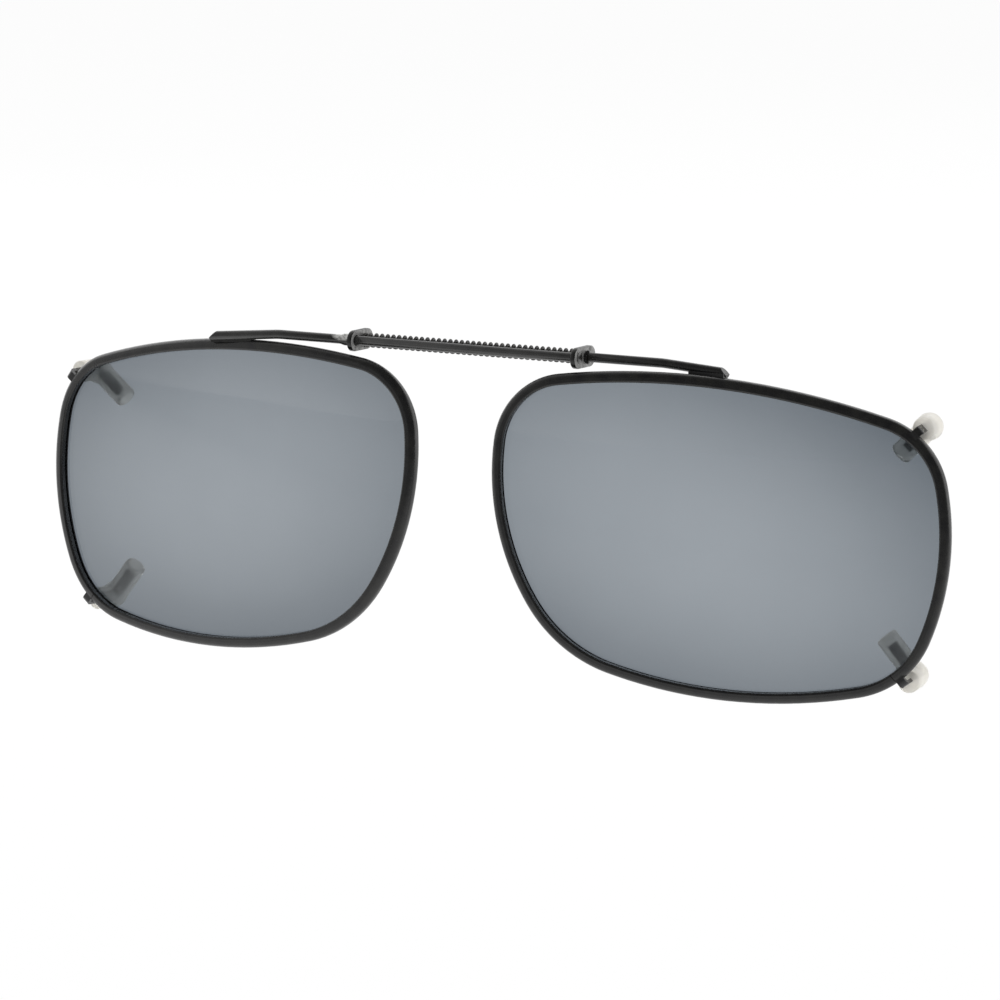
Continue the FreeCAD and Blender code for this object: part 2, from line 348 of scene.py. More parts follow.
@dataclass(frozen=True)
class SatinBlackPaint:
    """Thin satin black paint over metal, mottled a little, with fine rub marks along X.

    Where rub_centre is given, the paint round it is worn through to the metal.
    """

    name: str = "satin_black_paint"
    deep: Colour = (0.007, 0.007, 0.008)
    pale: Colour = (0.017, 0.017, 0.015)
    bare: Colour = (0.74, 0.74, 0.72)
    bare_metallic: float = 0.35
    roughness: Pair = (0.20, 0.30)
    specular: float = 0.60
    mottle_size: float = 1.6 * MM
    gloss_size: float = 0.7 * MM
    grain_size: float = 0.12 * MM
    grain_depth: float = 0.02 * MM
    mark_width: float = 0.10 * MM
    mark_stretch: Triple = (14.0, 1.0, 1.0)
    mark_share: float = 0.2
    mark_range: Pair = (0.55, 0.75)
    rub_centre: Vector | None = None
    rub_reach: Triple = (1.7 * MM, 1.2 * MM, 0.75 * MM)
    rub_edge: float = 0.55
    patch_size: float = 0.35 * MM
    patch_floor: float = 0.35
    patch_range: Pair = (0.38, 0.56)

    def material(self) -> Material:
        """Build the finish.

        Returns:
            The node material.
        """
        sheet = FinishSheet(self.name)
        mottle = sheet.noise(self.mottle_size, detail=4.0)
        marks = sheet.noise(self.mark_width, detail=2.0, stretch=self.mark_stretch)
        tone = sheet.reckon("ADD", sheet.spread(mottle, 0.0, 1.0 - self.mark_share),
                            sheet.spread(marks, 0.0, self.mark_share, *self.mark_range))
        colour = sheet.ramp(tone, self.deep, self.pale)
        rough = sheet.spread(sheet.noise(self.gloss_size), *self.roughness)
        metallic: object = 0.0
        if self.rub_centre is not None:
            worn = self.worn_share(sheet)
            colour = sheet.mix_colours(worn, colour, self.bare)
            metallic = sheet.spread(worn, 0.0, self.bare_metallic, start=0.0, finish=1.0)
        grain = sheet.noise(self.grain_size, detail=2.0)
        return sheet.close(sheet.surface(
            Base_Color=colour, Roughness=rough, Metallic=metallic,
            Specular_IOR_Level=self.specular,
            Normal=sheet.relief(grain, self.grain_depth, strength=0.05)))

    def worn_share(self, sheet: FinishSheet) -> Socket:
        """How much of the paint is rubbed through round rub_centre.

        Args:
            sheet: The material being put together.

        Returns:
            A factor from 0, whole paint, to 1, bare metal.
        """
        centred = sheet.turned_place(self.rub_centre, (0.0, 0.0, 0.0), Vector(self.rub_reach))
        away = sheet.reckon_vectors("LENGTH", centred)
        near = sheet.spread(away, 1.0, 0.0, start=self.rub_edge, finish=1.0)
        patches = sheet.noise(self.patch_size, detail=4.0)
        patch = sheet.spread(patches, self.patch_floor, 1.0, *self.patch_range)
        return sheet.reckon("MULTIPLY", near, patch)


@dataclass(frozen=True)
class PaintedLightPlate:
    """Pale satin grey for the guide plates' flat faces, which is painted light for the light
    those faces catch: clouded, with a fine punched grain.
    """

    name: str = "plate_faces_painted_light"
    deep: Colour = (0.11, 0.11, 0.109)
    pale: Colour = (0.37, 0.37, 0.362)
    roughness: Pair = (0.55, 0.38)
    metallic: float = 0.35
    cloud_size: float = 0.6 * MM
    grain_size: float = 0.10 * MM
    grain_depth: float = 0.03 * MM
    grain_share: float = 0.25

    def material(self) -> Material:
        """Build the finish.

        Returns:
            The node material.
        """
        sheet = FinishSheet(self.name)
        clouds = sheet.noise(self.cloud_size, detail=4.0)
        grain = sheet.noise(self.grain_size)
        tone = sheet.reckon("ADD", sheet.spread(clouds, 0.0, 1.0 - self.grain_share),
                            sheet.spread(grain, 0.0, self.grain_share))
        return sheet.close(sheet.surface(
            Base_Color=sheet.ramp(tone, self.deep, self.pale),
            Roughness=sheet.spread(clouds, *self.roughness),
            Metallic=self.metallic,
            Normal=sheet.relief(grain, self.grain_depth, strength=0.2)))


@dataclass(frozen=True)
class DarkSpringSteel:
    """Blackened spring wire, paler in soft random blotches."""

    name: str = "dark_spring_steel"
    deep: Colour = (0.022, 0.021, 0.020)
    pale: Colour = (0.060, 0.058, 0.054)
    roughness: Pair = (0.30, 0.48)
    metallic: float = 0.6
    mottle_size: float = 0.5 * MM
    grain_size: float = 0.05 * MM
    grain_depth: float = 0.01 * MM

    def material(self) -> Material:
        """Build the finish.

        Returns:
            The node material.
        """
        sheet = FinishSheet(self.name)
        mottle = sheet.noise(self.mottle_size)
        drawn = sheet.noise(self.grain_size, detail=2.0)
        return sheet.close(sheet.surface(
            Base_Color=sheet.ramp(sheet.spread(mottle, 0.0, 1.0), self.deep, self.pale),
            Roughness=sheet.spread(mottle, *self.roughness),
            Metallic=self.metallic,
            Normal=sheet.relief(drawn, self.grain_depth, strength=0.1)))


@dataclass(frozen=True)
class TintedLens:
    """Polished grey lens with faint smears. Its colour is painted light: lighter at its middle
    and darker towards its edge, standing in for the light falling off across the lens.

    The painted shade follows the squared distance from its middle in half sizes, and is rim at
    rim_at.
    """

    name: str
    centre: Vector
    turn: Triple
    half_width: float
    half_height: float
    # The scale and the three shades below are painted light: the tint is lighter at the lens's
    # middle and darker at its rim, and scaled per lens.
    lit_scale: float = 1.0
    clear: Colour = (0.312, 0.342, 0.372)
    edge: Colour = (0.204, 0.228, 0.253)
    rim: Colour = (0.120, 0.140, 0.162)
    shadow: Colour = (0.50, 0.53, 0.56)
    refraction: float = 1.50
    roughness: Pair = (0.015, 0.05)
    rim_at: float = 2.0
    drift: Pair = (-0.05, 0.05)
    drift_size: float = 16.0 * MM
    smear_size: float = 5.0 * MM
    smear_stretch: Triple = (2.5, 1.0, 1.0)
    smear_range: Pair = (0.45, 0.7)
    wave_size: float = 9.0 * MM
    wave_depth: float = 0.02 * MM

    def material(self) -> Material:
        """Build the finish.

        Returns:
            The node material.
        """
        sheet = FinishSheet(self.name)
        # Painted light: the shade darkens with the squared distance from the lens's lit middle.
        reach = Vector((self.half_width, 1.0, self.half_height))
        spot = sheet.turned_place(self.centre, self.turn, reach)
        squared = sheet.reckon_vectors("DOT_PRODUCT", spot, spot)
        drift = sheet.spread(sheet.noise(self.drift_size, detail=2.0), *self.drift)
        depth = sheet.spread(sheet.reckon("ADD", squared, drift), 0.0, 1.0, start=0.0,
                             finish=self.rim_at)
        shades = [tuple(part * self.lit_scale for part in shade)
                  for shade in (self.clear, self.edge, self.rim)]
        smear = sheet.noise(self.smear_size, detail=5.0, stretch=self.smear_stretch)
        waves = sheet.noise(self.wave_size, detail=1.0)
        shader = sheet.surface(
            Base_Color=sheet.ramp(depth, *shades),
            Roughness=sheet.spread(smear, *self.roughness, *self.smear_range),
            IOR=self.refraction, Transmission_Weight=1.0,
            Normal=sheet.relief(waves, self.wave_depth, strength=0.05))
        return sheet.close_with_shadow(shader, self.shadow)


@dataclass(frozen=True)
class CloudySilicone:
    """Soft milky silicone, a little yellowed and dusty, cloudier on its leg and bend than along
    its arm.
    """

    name: str = "cloudy_silicone"
    milky: Colour = (0.90, 0.88, 0.83)
    yellowed: Colour = (0.84, 0.815, 0.75)
    shadow: Colour = (0.80, 0.79, 0.75)
    clear_share: float = 0.70
    cloudy_share: float = 0.36
    refraction: float = 1.15
    roughness: Pair = (0.30, 0.42)
    yellow_size: float = 1.4 * MM
    dust_size: float = 0.12 * MM
    dust_depth: float = 0.02 * MM
    dust_share: float = 0.2
    dust_range: Pair = (0.5, 0.7)
    cloud: ClassVar[str] = "cloud"

    def material(self) -> Material:
        """Build the finish.

        Returns:
            The node material.
        """
        sheet = FinishSheet(self.name)
        yellow = sheet.noise(self.yellow_size, detail=4.0)
        dust = sheet.noise(self.dust_size)
        tone = sheet.reckon("ADD", sheet.spread(yellow, 0.0, 1.0 - self.dust_share),
                            sheet.spread(dust, 0.0, self.dust_share, *self.dust_range))
        thick = sheet.node("ShaderNodeAttribute")
        thick.attribute_name = self.cloud
        passed = sheet.spread(thick.outputs["Fac"], self.clear_share, self.cloudy_share,
                              start=0.0, finish=1.0)
        shader = sheet.surface(
            Base_Color=sheet.ramp(tone, self.milky, self.yellowed),
            Roughness=sheet.spread(yellow, *self.roughness),
            IOR=self.refraction, Transmission_Weight=passed,
            Normal=sheet.relief(dust, self.dust_depth, strength=0.05))
        return sheet.close_with_shadow(shader, self.shadow)


@dataclass(frozen=True)
class PaleFloor:
    """The plain pale ground under the object, which still takes its shadow.

    Reflections see it white at its back and dimmed towards its front, measured along away.
    """

    name: str = "pale_floor"
    pale: Colour = (0.90, 0.90, 0.90)
    fleck_shade: float = 0.98
    fleck_size: float = 40.0 * MM
    roughness: float = 0.8
    specular: float = 0.2
    whitening: float = 0.9
    away: Triple = (-0.35, 1.0, 0.0)
    away_fade: Pair = (-0.55, 0.05)
    dim_front: float = 0.05

    def material(self) -> Material:
        """Build the finish.

        Returns:
            The node material.
        """
        sheet = FinishSheet(self.name)
        flecked = tuple(part * self.fleck_shade for part in self.pale)
        ground = sheet.surface(
            Base_Color=sheet.ramp(sheet.noise(self.fleck_size), self.pale, flecked),
            Roughness=self.roughness, Specular_IOR_Level=self.specular)
        behind = sheet.reckon_vectors("DOT_PRODUCT", sheet.place, self.away)
        mirrored = sheet.spread(behind, self.dim_front, 1.0, *self.away_fade)
        white = sheet.node("ShaderNodeEmission", Color=WHITE,
                           Strength=sheet.seen_by_eye(mirrored)).outputs["Emission"]
        share = sheet.reckon("MULTIPLY", sheet.seen_by_eye(), self.whitening)
        return sheet.close(sheet.mix_shaders(share, ground, white))


# Meshes.


def add_object(name: str, data: bpy.types.ID) -> bpy.types.Object:
    """Make an object of some data and link it to the scene.

    Args:
        name: The object's name.
        data: Its mesh, light or camera.

    Returns:
        The object.
    """
    made = bpy.data.objects.new(name, data)
    bpy.context.scene.collection.objects.link(made)
    return made


class Workpiece:
    """One mesh on the bench, from its first ring to its finished object."""

    CUT_SLACK: ClassVar[float] = 1e-7

    def __init__(self, name: str) -> None:
        """Start an empty mesh that carries the finished object's name."""
        self.name = name
        self.bm = bmesh.new()

    def ring(self, sides: int, at: Matrix) -> list[bmesh.types.BMEdge]:
        """Add a round ring of edges of radius 1, carried by a matrix.

        Args:
            sides: Number of edges.
            at: Where the ring's plane goes and how it is scaled.

        Returns:
            The ring's edges.
        """
        made = bmesh.ops.create_circle(self.bm, segments=sides, radius=1.0, matrix=at)
        verts = set(made["verts"])
        return [edge for edge in self.bm.edges if edge.verts[0] in verts]

    def sweep(self, sides: int, stations: list[Matrix]) -> None:
        """Draw one closed skin through a row of rings and cap its ends.

        Args:
            sides: Number of edges round a ring.
            stations: Where each ring's plane goes and how it is scaled.
        """
        edges = self.ring(sides, stations[0])
        for before, after in zip(stations, stations[1:]):
            grown = bmesh.ops.extrude_edge_only(self.bm, edges=edges)["geom"]
            verts = [item for item in grown if isinstance(item, bmesh.types.BMVert)]
            edges = [item for item in grown if isinstance(item, bmesh.types.BMEdge)]
            self.carry(after @ before.inverted(), verts)
        self.cap()

    def carry(self, by: Matrix, verts: list[bmesh.types.BMVert] | None = None) -> None:
        """Move some of the mesh, or all of it, by a matrix."""
        bmesh.ops.transform(self.bm, matrix=by, verts=self.bm.verts if verts is None else verts)

    def cap(self) -> None:
        """Close every open loop."""
        self.settle()
        rims = [edge for edge in self.bm.edges if edge.is_boundary]
        bmesh.ops.edgeloop_fill(self.bm, edges=rims)

    def trim(self, point: Vector, outwards: Vector) -> None:
        """Cut off and close what lies beyond a plane.

        Args:
            point: A point of the plane.
            outwards: The plane's normal, towards what is cut off.
        """
        everything = self.bm.verts[:] + self.bm.edges[:] + self.bm.faces[:]
        bmesh.ops.bisect_plane(self.bm, geom=everything, dist=self.CUT_SLACK, plane_co=point,
                               plane_no=outwards, clear_outer=True)
        self.cap()

    def soften(self, edges: list[bmesh.types.BMEdge], width: float, segments: int) -> None:
        """Round some edges, to a width in metres and with so many facets."""
        bmesh.ops.bevel(self.bm, geom=edges, offset=width, offset_type="OFFSET", affect="EDGES",
                        segments=segments, profile=0.5, material=-1, clamp_overlap=True)

    def settle(self) -> None:
        """Put vertices, edges and faces in the order of their places, the same each run."""
        for parts in (self.bm.verts, self.bm.edges, self.bm.faces):
            ordered = sorted(parts, key=lambda part: sorted(
                vert.co[:] for vert in getattr(part, "verts", (part,))))
            ranks = {part: rank for rank, part in enumerate(ordered)}
            parts.sort(key=ranks.get)
            parts.index_update()

    def finish(self, material: Material, sharp: float = 35.0) -> bpy.types.Object:
        """Turn the mesh into a shaded object at the origin.

        Args:
            material: The finish.
            sharp: Edges that turn more than this, in degrees, stay crisp.

        Returns:
            The object.
        """
        bmesh.ops.recalc_face_normals(self.bm, faces=self.bm.faces)
        self.settle()
        mesh = bpy.data.meshes.new(self.name)
        self.bm.to_mesh(mesh)
        self.bm.free()
        mesh.materials.append(material)
        mesh.polygons.foreach_set("use_smooth", [True] * len(mesh.polygons))
        mesh.set_sharp_from_angle(angle=math.radians(sharp))
        return add_object(self.name, mesh)


def across_x(middle: Triple, half_y: float, half_z: float, droop: float = 0.0) -> Matrix:
    """A ring's matrix whose plane crosses the X axis.

    Args:
        middle: Its middle, in millimetres.
        half_y: Half size along Y, in millimetres.
        half_z: Half size along Z, in millimetres.
        droop: How far the axis slopes down towards +X, in radians.

    Returns:
        The matrix, in metres.
    """
    size = Matrix.Diagonal((half_z * MM, half_y * MM, MM, 1.0))
    upright = Matrix.Rotation(math.pi / 2 + droop, 4, "Y")
    return Matrix.Translation(Vector(middle) * MM) @ upright @ size


def mirrored_to(side: Side) -> Matrix:
    """The matrix that takes a piece from the +X side to a side."""
    return Matrix.Diagonal((side.sign, 1.0, 1.0, 1.0))


def fit(piece: bpy.types.Object, node: str, body: str) -> bpy.types.Object:
    """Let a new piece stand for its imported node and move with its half.

    Args:
        piece: The finished object.
        node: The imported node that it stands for.
        body: The half that it moves with.

    Returns:
        The same object.
    """
    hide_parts(node)
    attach(piece, body)
    LOG.info("%s: %d faces, stands for %s, rides %s",
             piece.name, len(piece.data.polygons), node, body)
    return piece


# The eyes.


@dataclass
class HookSleeve:
    """The soft sleeve over one hook's back leg, bend and arm.

    Sizes in millimetres, turns in degrees. Its rings are set out in the hook's frame.
    """

    side: Side
    level: Level
    corner: Triple
    seat: float
    turn: float
    arm: float
    tube: float = 1.4
    bulge: float = 0.3
    elbow: float = 0.31
    elbow_sharpness: float = 2.6
    stand_out: float = 0.675
    mouth: float = 1.3
    lip: float = 0.22
    reach_back: float = 5.4
    overhang: float = 1.35
    pivot: float = 1.75
    tip_round: float = 0.45
    cloud_fade: float = 1.2
    sides: int = 40
    bend_steps: int = 14
    tip_steps: int = 6
    crisp_angle: float = 50.0

    LIP_SHARES: ClassVar[tuple[float, ...]] = (0.0, 0.35, 0.7, 1.0)
    ARM_SHARES: ClassVar[tuple[float, ...]] = (0.5, 1.0)
    ACROSS_LEG: ClassVar[float] = 0.0
    ACROSS_ARM: ClassVar[float] = 90.0

    @property
    def bend_centre(self) -> Pair:
        """The point that the bend turns about, in the hook's frame."""
        return self.stand_out - self.pivot, self.reach_back - self.pivot

    def hook_place(self) -> Matrix:
        """Where the hook's own frame sits: X out of the rim, Y back, Z along the strip's width.

        Returns:
            The matrix, for lengths in metres.
        """
        x, z, radius = self.corner
        seat = math.radians(self.seat)
        point = Vector((x + radius * math.cos(seat), 0.0, z + radius * math.sin(seat)))
        dished = EyeHalf.base_radius ** 2 - point.x ** 2 - point.z ** 2
        point.y = EyeHalf.base_radius - math.sqrt(dished)
        turned = Matrix.Rotation(-math.radians(self.seat + self.turn), 4, "Y")
        wrapped = Matrix.Rotation(math.radians(EyeHalf.wrap), 4, "Z")
        aside = Matrix.Translation((EyeHalf.half_distance * MM, 0.0, 0.0))
        return mirrored_to(self.side) @ aside @ wrapped @ Matrix.Translation(point * MM) @ turned

    def station(self, x: float, y: float, turn: float, half: float) -> Matrix:
        """One ring across the sleeve.

        Args:
            x: Its middle's X.
            y: Its middle's Y.
            turn: How far round the bend it lies, from ACROSS_LEG to ACROSS_ARM.
            half: Its radius.

        Returns:
            The ring's matrix, in metres.
        """
        point = Matrix.Translation(Vector((x, y, 0.0)) * MM)
        lie = point @ Matrix.Rotation(math.radians(turn), 4, "Z")
        upright = Matrix.Rotation(-math.pi / 2, 4, "X")
        return lie @ upright @ Matrix.Diagonal((half * MM, half * MM, MM, 1.0))

    def mouth_stations(self) -> list[Matrix]:
        """The rings of the rounded lip at the mouth.

        Returns:
            Ring matrices.
        """
        rows = []
        for share in self.LIP_SHARES:
            half = self.tube - self.lip * (1.0 - math.sin(share * math.pi / 2))
            along = self.mouth + self.lip * share
            rows.append(self.station(self.stand_out, along, self.ACROSS_LEG, half))
        return rows

    def bend_stations(self) -> list[Matrix]:
        """The rings over the bend, which swell towards its elbow.

        Returns:
            Ring matrices.
        """
        rows = []
        x, y = self.bend_centre
        for step in range(self.bend_steps + 1):
            turn = math.radians(self.ACROSS_ARM * step / self.bend_steps)
            swell = math.sin(2 * turn) ** self.elbow_sharpness
            out = self.pivot + self.elbow * swell
            rows.append(self.station(x + out * math.cos(turn), y + out * math.sin(turn),
                                     math.degrees(turn), self.tube + self.bulge * swell))
        return rows

    def arm_stations(self) -> list[Matrix]:
        """The rings along the arm and round the soft tip.

        Returns:
            Ring matrices.
        """
        rows = []
        x, _ = self.bend_centre
        start = self.stand_out - self.arm - self.overhang + self.tip_round
        for share in self.ARM_SHARES:
            rows.append(self.station(x + (start - x) * share, self.reach_back, self.ACROSS_ARM,
                                     self.tube))
        for step in range(1, self.tip_steps + 1):
            turn = math.radians(90.0 * step / self.tip_steps)
            half = self.tube - self.tip_round * (1 - math.cos(turn))
            rows.append(self.station(start - self.tip_round * math.sin(turn), self.reach_back,
                                     self.ACROSS_ARM, half))
        return rows

    def mark_cloud(self, work: Workpiece) -> None:
        """Note how cloudy each point is: whole on the leg and bend, none along the arm.

        Args:
            work: The sleeve's mesh, still in the hook's frame.
        """
        cloud = work.bm.verts.layers.float.new(CloudySilicone.cloud)
        for vert in work.bm.verts:
            along = (vert.co.x / MM - self.bend_centre[0]) / self.cloud_fade + 0.5
            vert[cloud] = min(max(along, 0.0), 1.0)

    def build(self, finish: Material) -> bpy.types.Object:
        """Model and fit the sleeve.

        Args:
            finish: The silicone.

        Returns:
            The sleeve.
        """
        node = f"{self.side.value}_{self.level.value}_sleeve"
        work = Workpiece(node + "_silicone")
        work.sweep(self.sides,
                   self.mouth_stations() + self.bend_stations() + self.arm_stations())
        self.mark_cloud(work)
        work.carry(self.hook_place())
        sleeve = work.finish(finish, self.crisp_angle)
        return fit(sleeve, node, self.side.body)


@dataclass
class EyeHalf:
    """One rimmed lens with its hooks and brazed pad. Sizes in millimetres, turns in degrees."""

    side: Side
    sleeves: list[HookSleeve]
    # The lens's painted light: its brightest spot, the half sizes and tilt of its fall-off, and a
    # scale for this lens's lighter or darker copy.
    lit_spot: Pair
    lit_half: Pair
    lit_tilt: float
    lit_scale: float = 1.0

    half_distance: ClassVar[float] = 34.575
    wrap: ClassVar[float] = 8.9
    base_radius: ClassVar[float] = 177.0

    def dress(self, paint: Material, silicone: Material) -> None:
        """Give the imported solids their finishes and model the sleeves.

        Args:
            paint: For the rim, hooks and pad.
            silicone: For the sleeves.
        """
        name = self.side.value
        for piece in ("rim", "upper_hook", "lower_hook", "rod_pad"):
            self.repaint(f"{name}_{piece}", paint)
        self.repaint(f"{name}_lens", self.tint().material())
        for sleeve in self.sleeves:
            sleeve.build(silicone)

    def tint(self) -> TintedLens:
        """The lens's tint with painted light, brightest at this eye's painted light spot, which
        is measured from the lens centre.

        Returns:
            The finish.
        """
        wrap = math.radians(self.wrap)
        out, up = self.lit_spot
        aside = self.side.sign * (self.half_distance + out * math.cos(wrap))
        turn = (0.0, -self.side.sign * math.radians(self.lit_tilt), self.side.sign * wrap)
        half_width, half_height = self.lit_half
        return TintedLens(f"{self.side.value}_lens_tint",
                          Vector((aside, out * math.sin(wrap), up)) * MM, turn,
                          half_width * MM, half_height * MM, self.lit_scale)

    def repaint(self, node: str, material: Material) -> None:
        """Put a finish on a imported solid.

        Args:
            node: The node's name.
            material: The finish.
        """
        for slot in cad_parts[node].material_slots:
            slot.material = material
        LOG.info("%s: packed solid in %s", node, material.name)


# The draw bridge.


@dataclass
class BridgeRod:
    """A rod brazed over one rim and staked in the other side's plate. Sizes in millimetres.

    Distances along the rod are measured towards its own rim from the middle of the face. Its
    rings are set out for a rod whose rim is at +X.
    """

    side: Side
    y: float
    z: float
    reach: float
    droop: float
    ears_length: float
    ears_height: float
    radius: float = 0.585
    plate_inner: float = 15.3
    plate_outer: float = 15.95
    head_radius: float = 0.70
    head_height: float = 0.18
    head_crown: float = 10.0
    bend_at: float = 26.525
    bend_radius: float = 12.0
    bevel_height: float = 0.8
    ears_gap: float = 0.03
    ears_neck: float = 0.25
    ears_half_depth: float = 0.30
    sides: int = 40
    head_steps: int = 5
    bend_steps: int = 4

    # How far along its ears a rod is pinched, and how much, as shares.
    PINCH: ClassVar[tuple[Pair, ...]] = (
        (0.0, 0.55), (0.1, 0.85), (0.25, 1.0), (0.5, 1.0),
        (0.72, 0.92), (0.86, 0.6), (1.0, 0.18), (1.12, 0.0))

    def level_station(self, along: float, half_y: float, half_z: float) -> Matrix:
        """A ring on the rod's level stretch, with half sizes front to back and up and down."""
        return across_x((along, self.y, self.z), half_y, half_z)

    def head_stations(self) -> list[Matrix]:
        """The rings of the staked head and of the stretch through its plate.

        Returns:
            Ring matrices.
        """
        rows = []
        for step in range(self.head_steps + 1):
            turn = math.radians(
                self.head_crown + (90.0 - self.head_crown) * step / self.head_steps)
            half = self.head_radius * math.sin(turn)
            along = -self.plate_outer - self.head_height * math.cos(turn)
            rows.append(self.level_station(along, half, half))
        for along in (-self.plate_outer, -self.plate_inner):
            rows.append(self.level_station(along, self.radius, self.radius))
        return rows

    def ears_stations(self) -> list[Matrix]:
        """The rings of the ears pinched out of the rod, which stop it at its sliding plate.

        Returns:
            Ring matrices.
        """
        start = self.plate_outer + self.ears_gap
        rows = [self.level_station(start - self.ears_neck, self.radius, self.radius)]
        for share, pinch in self.PINCH:
            half_z = self.radius + (self.ears_height / 2 - self.radius) * pinch
            half_y = self.radius + (self.ears_half_depth - self.radius) * pinch
            rows.append(self.level_station(start + self.ears_length * share, half_y, half_z))
        return rows

    def droop_stations(self) -> list[Matrix]:
        """The rings over the slow bend and down to the outer end.

        Returns:
            Ring matrices.
        """
        rows = []
        slope = math.radians(self.droop)
        setback = self.bend_radius * math.tan(slope / 2)
        for step in range(self.bend_steps + 1):
            turn = slope * step / self.bend_steps
            along = self.bend_at - setback + self.bend_radius * math.sin(turn)
            fall = self.bend_radius * (1 - math.cos(turn))
            rows.append(across_x((along, self.y, self.z - fall), self.radius, self.radius, turn))
        rows.append(across_x(self.end(), self.radius, self.radius, slope))
        return rows

    def end(self) -> Vector:
        """The outer end of the rod's axis.

        Returns:
            The point, in millimetres.
        """
        along = EyeHalf.half_distance + self.reach
        fall = math.tan(math.radians(self.droop)) * (along - self.bend_at)
        return Vector((along, self.y, self.z - fall))

    def build(self, finish: Material) -> bpy.types.Object:
        """Model and fit the rod.

        Args:
            finish: The paint.

        Returns:
            The rod.
        """
        node = self.side.value + "_rod"
        work = Workpiece(node + "_drawn")
        work.sweep(self.sides,
                   self.head_stations() + self.ears_stations() + self.droop_stations())
        bevel_from = (self.end() + Vector((0.0, 0.0, self.radius - self.bevel_height))) * MM
        work.trim(bevel_from, Vector((1.0, 0.0, 1.0)).normalized())
        work.carry(mirrored_to(self.side))
        return fit(work.finish(finish), node, self.side.body)


@dataclass
class GuidePlate:
    """The small upright plate at one end of the bridge. Sizes in millimetres.

    One rod is staked in it, the other slides through it.
    """

    side: Side
    staked: Pair
    sliding: Pair
    staked_hole: float = 0.595
    sliding_hole: float = 0.635
    edge_round: float = 0.08
    edge_facets: int = 3
    crisp_angle: float = 60.0
    flat_share: float = 0.8
    sides: int = 56

    def blank(self, work: Workpiece) -> None:
        """Punch the plate: a rounded outline with two holes, drawn to its thickness.

        Args:
            work: The empty mesh.
        """
        low, high = (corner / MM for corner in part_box(self.side.value + "_guide_plate"))
        middle = (low + high) / 2
        end_radius = (high.z - low.z) / 2
        straight = (high.y - low.y) / 2 - end_radius
        work.ring(self.sides, across_x((low.x, middle.y, middle.z), end_radius, end_radius))
        for vert in work.bm.verts:
            vert.co.y += math.copysign(straight, vert.co.y - middle.y * MM) * MM
        for (y, z), radius in ((self.staked, self.staked_hole),
                               (self.sliding, self.sliding_hole)):
            work.ring(self.sides // 2, across_x((low.x, y, z), radius, radius))
        bmesh.ops.triangle_fill(work.bm, use_beauty=True, edges=work.bm.edges[:],
                                normal=(1, 0, 0))
        grown = bmesh.ops.extrude_face_region(work.bm, geom=work.bm.faces[:])["geom"]
        verts = [item for item in grown if isinstance(item, bmesh.types.BMVert)]
        bmesh.ops.translate(work.bm, vec=Vector((high.x - low.x, 0.0, 0.0)) * MM, verts=verts)
        bmesh.ops.recalc_face_normals(work.bm, faces=work.bm.faces)

    def build(self, finish: Material, edge_finish: Material) -> bpy.types.Object:
        """Model and fit the plate.

        Args:
            finish: For its flat faces, painted pale grey as painted light.
            edge_finish: The darker finish round its edge.

        Returns:
            The plate.
        """
        node = self.side.value + "_guide_plate"
        work = Workpiece(node + "_punched")
        self.blank(work)
        crisp = [edge for edge in work.bm.edges
                 if edge.is_manifold and edge.calc_face_angle() > math.radians(self.crisp_angle)]
        work.soften(crisp, self.edge_round * MM, self.edge_facets)
        # Painted light: the flat faces take the pale grey, and the rounded edges keep the black
        # paint.
        for face in work.bm.faces:
            face.material_index = 0 if abs(face.normal.x) > self.flat_share else 1
        plate = work.finish(finish)
        plate.data.materials.append(edge_finish)
        return fit(plate, node, self.side.other.body)


@dataclass
class CoilSpring:
    """The coil round the back rod, between the plates. Sizes in millimetres."""

    y: float = 1.9
    z: float = 20.85
    half_length: float = 15.27
    wire: float = 0.32
    mean_radius: float = 0.78
    closed_turns: float = 0.75
    closed_pitch: float = 0.36
    pitch: float = 0.8057
    steps_a_turn: int = 26
    wire_sides: int = 9
    crisp_angle: float = 60.0

    def windings(self) -> list[Pair]:
        """The close end turns and the open turns between them.

        Returns:
            The turns and the length of each stretch, in order.
        """
        closed = (self.closed_turns, self.closed_turns * self.closed_pitch)
        open_length = (2 * self.half_length - self.wire
                       - 2 * self.closed_turns * self.closed_pitch)
        return [closed, (open_length / self.pitch, open_length), closed]

    def build(self, finish: Material) -> bpy.types.Object:
        """Wind and fit the coil.

        Args:
            finish: The wire's finish.

        Returns:
            The coil.
        """
        work = Workpiece("bridge_spring_coil")
        axis_point = Vector((0.0, self.y, self.z)) * MM
        first = (-self.half_length + self.wire / 2, self.y, self.z - self.mean_radius)
        lie = Matrix.Translation(Vector(first) * MM) @ Matrix.Rotation(math.pi / 2, 4, "X")
        thick = Matrix.Diagonal((self.wire / 2 * MM, self.wire / 2 * MM, MM, 1.0))
        work.ring(self.wire_sides, lie @ thick)
        last = work.bm.verts[:] + work.bm.edges[:]
        for turns, rise in self.windings():
            steps = round(turns * self.steps_a_turn)
            spun = bmesh.ops.spin(
                work.bm, geom=last, cent=axis_point, axis=(1.0, 0.0, 0.0),
                dvec=(rise * MM / steps, 0.0, 0.0), angle=2 * math.pi * turns, steps=steps,
                use_merge=False)
            last = spun["geom_last"]
        work.cap()
        coil = work.finish(finish, self.crisp_angle)
        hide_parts("bridge_spring")
        self.stretch(coil)
        LOG.info("%s: %d faces, drawn shorter by the right guide plate",
                 coil.name, len(coil.data.polygons))
        return coil

    def stretch(self, coil: bpy.types.Object) -> None:
        """Bake the coil's placement into its mesh.

        Args:
            coil: The finished coil.
        """
        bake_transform(coil)


